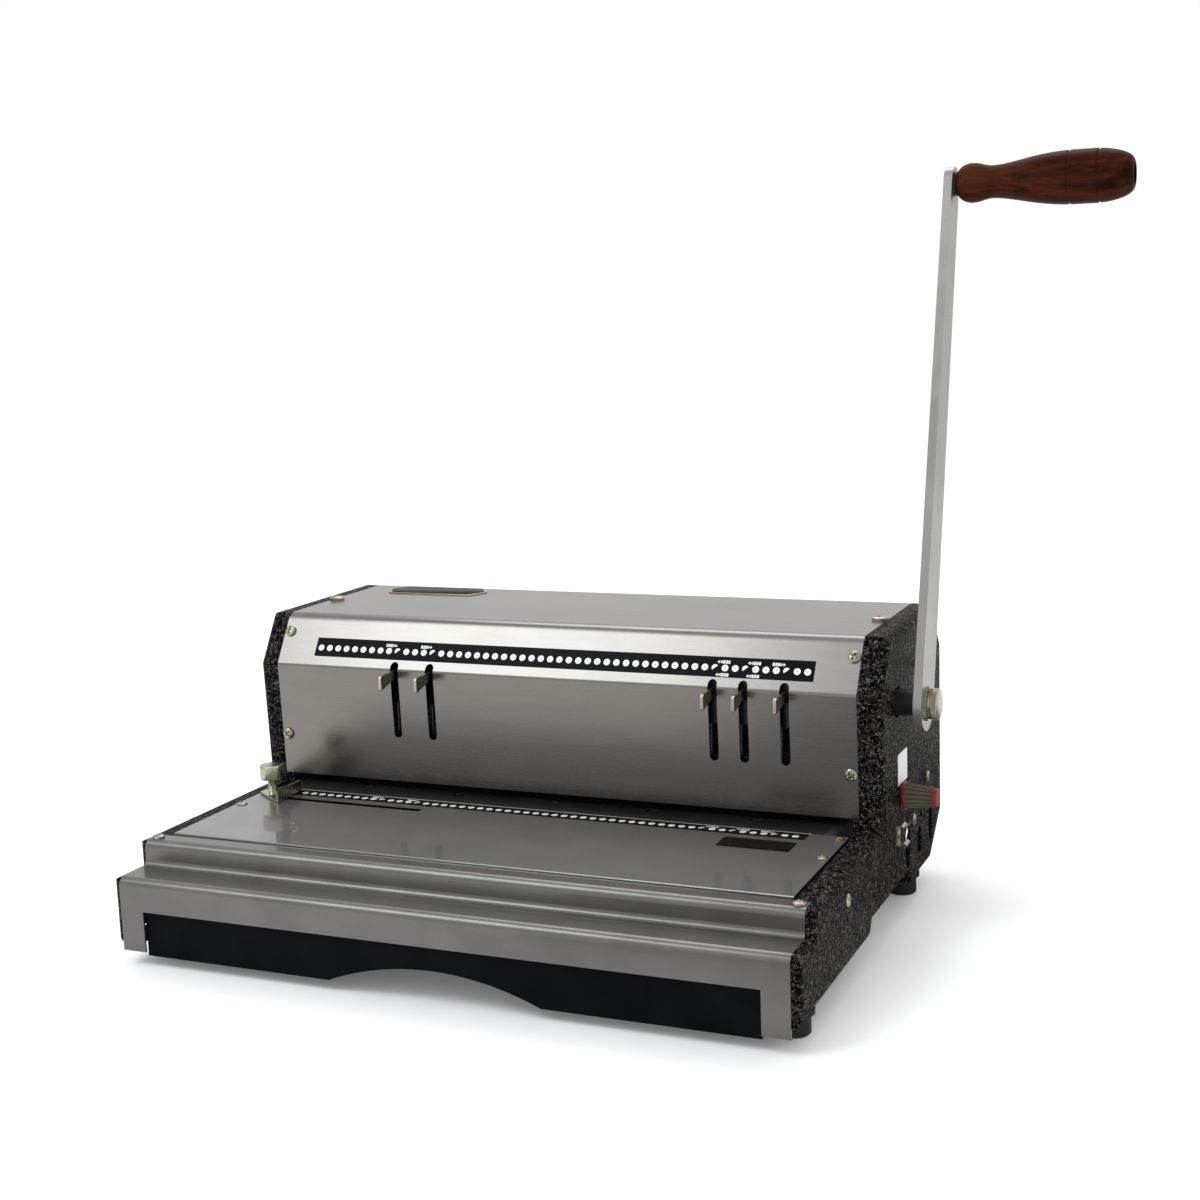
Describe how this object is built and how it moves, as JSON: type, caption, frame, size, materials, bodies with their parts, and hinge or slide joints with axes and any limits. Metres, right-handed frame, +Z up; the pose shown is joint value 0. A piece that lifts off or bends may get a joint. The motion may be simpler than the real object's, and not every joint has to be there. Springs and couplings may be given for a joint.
{
  "type": "coil binding machine",
  "caption": "Desk punch for coil binding with a stepped sheet-steel body, punching head, pin levers, side lever with wooden grip, edge guide, depth knob and chip drawer.",
  "frame": {"origin": "on the desk, midway between the four feet", "axes": "+Z up, +Y from the drawer side to the back, +X to the side with the lever"},
  "size_m": [0.5383, 0.317, 0.4495],
  "materials": {
    "hammertone_black": "black hammertone enamel",
    "cover_steel": "brushed stainless sheet",
    "satin_silver": "satin silver paint",
    "frame_steel": "grey painted steel",
    "black_oxide": "black oxide steel",
    "tool_steel": "ground steel",
    "bright_steel": "bright steel",
    "bronze": "sintered bronze",
    "rubber": "matte rubber",
    "nickel": "nickel plated",
    "lever_silver": "satin silver paint",
    "dark_steel": "dark steel",
    "turned_wood": "oiled red-brown hardwood",
    "knob_grey": "moulded grey plastic",
    "knob_red": "red plastic",
    "drawer_black": "matte black paint"
  },
  "bodies": {
    "chassis": {"side_plate_left": "hammertone_black", "side_plate_right": "hammertone_black", "front_apron": "satin_silver", "punch_table": "satin_silver", "head_cover": "cover_steel", "rear_cover": "hammertone_black", "inner_frame_left": "frame_steel", "inner_frame_right": "frame_steel", "die_plate": "black_oxide", "pin_guide_plate": "black_oxide", "guide_posts": "bright_steel", "shaft_bushes": "bronze", "tie_bars": "bright_steel", "drawer_rails": "frame_steel", "rubber_feet": "rubber", "foot_screws": "nickel", "cover_screws": "nickel", "table_screws": "nickel", "apron_screws": "nickel", "die_screws": "nickel", "side_screws": "nickel", "tool_clip": "nickel", "tool_peg": "nickel", "return_springs": "bright_steel"},
    "punch": {"punch_bar": "tool_steel", "punch_pins": "bright_steel"},
    "handle": {"drive_shaft": "black_oxide", "cranks": "tool_steel", "lever_bar": "lever_silver", "lever_washer": "nickel", "lever_bolt": "nickel", "grip_spindle": "dark_steel", "grip_washer": "black_oxide"},
    "grip": {"wooden_grip": "turned_wood"},
    "guide": {"edge_guide": "nickel", "guide_nut": "tool_steel"},
    "clamp_screw": {"thumbscrew": "nickel"},
    "knob": {"knob_spindle": "black_oxide", "knob_body": "knob_grey", "knob_ring": "knob_red", "knob_cap": "knob_red"},
    "gauge": {"depth_gauge": "black_oxide"},
    "drawer": {"drawer_front": "drawer_black", "drawer_tray": "drawer_black"},
    "hook_1": {"pin_lever_1": "nickel"},
    "hook_2": {"pin_lever_2": "nickel"},
    "hook_3": {"pin_lever_3": "nickel"},
    "hook_4": {"pin_lever_4": "nickel"},
    "hook_5": {"pin_lever_5": "nickel"}
  },
  "joints": [
    {"name": "handle_pull", "type": "hinge", "parent": "chassis", "child": "handle", "pos_m": [0.208, 0.056, 0.136], "axis": [1, 0, 0], "range_deg": [0, 90]},
    {"name": "punch_stroke", "type": "slide", "parent": "chassis", "child": "punch", "axis": [0, 0, -1], "range_m": [0, 0.03], "stiffness_N_per_m": 600, "springref_m": -0.05, "deforming": ["return_springs"]},
    {"name": "grip_spin", "type": "hinge", "parent": "handle", "child": "grip", "pos_m": [0.228, 0.13585, 0.43399], "axis": [1, 0, 0], "continuous": true},
    {"name": "edge_guide_slide", "type": "slide", "parent": "chassis", "child": "guide", "axis": [1, 0, 0], "range_m": [0, 0.105]},
    {"name": "thumbscrew_turn", "type": "hinge", "parent": "guide", "child": "clamp_screw", "pos_m": [-0.179, -0.019, 0.08], "axis": [0, 0, 1], "continuous": true},
    {"name": "depth_knob_turn", "type": "hinge", "parent": "chassis", "child": "knob", "pos_m": [0.208, 0.061, 0.0785], "axis": [1, 0, 0], "range_deg": [-60, 60]},
    {"name": "depth_gauge_slide", "type": "slide", "parent": "chassis", "child": "gauge", "axis": [0, 1, 0], "range_m": [-0.0017, 0.0017]},
    {"name": "drawer_slide", "type": "slide", "parent": "chassis", "child": "drawer", "axis": [0, -1, 0], "range_m": [0, 0.15]},
    {"name": "pin_lever_1_pull", "type": "slide", "parent": "punch", "child": "hook_1", "axis": [0, -1, 0], "range_m": [0, 0.006]},
    {"name": "pin_lever_2_pull", "type": "slide", "parent": "punch", "child": "hook_2", "axis": [0, -1, 0], "range_m": [0, 0.006]},
    {"name": "pin_lever_3_pull", "type": "slide", "parent": "punch", "child": "hook_3", "axis": [0, -1, 0], "range_m": [0, 0.006]},
    {"name": "pin_lever_4_pull", "type": "slide", "parent": "punch", "child": "hook_4", "axis": [0, -1, 0], "range_m": [0, 0.006]},
    {"name": "pin_lever_5_pull", "type": "slide", "parent": "punch", "child": "hook_5", "axis": [0, -1, 0], "range_m": [0, 0.006]}
  ],
  "couplings": [
    {"joint": "punch_stroke", "follows": "handle_pull", "m_per_rad": 0.01909},
    {"joint": "depth_knob_turn", "follows": "depth_gauge_slide", "rad_per_m": 606}
  ]
}
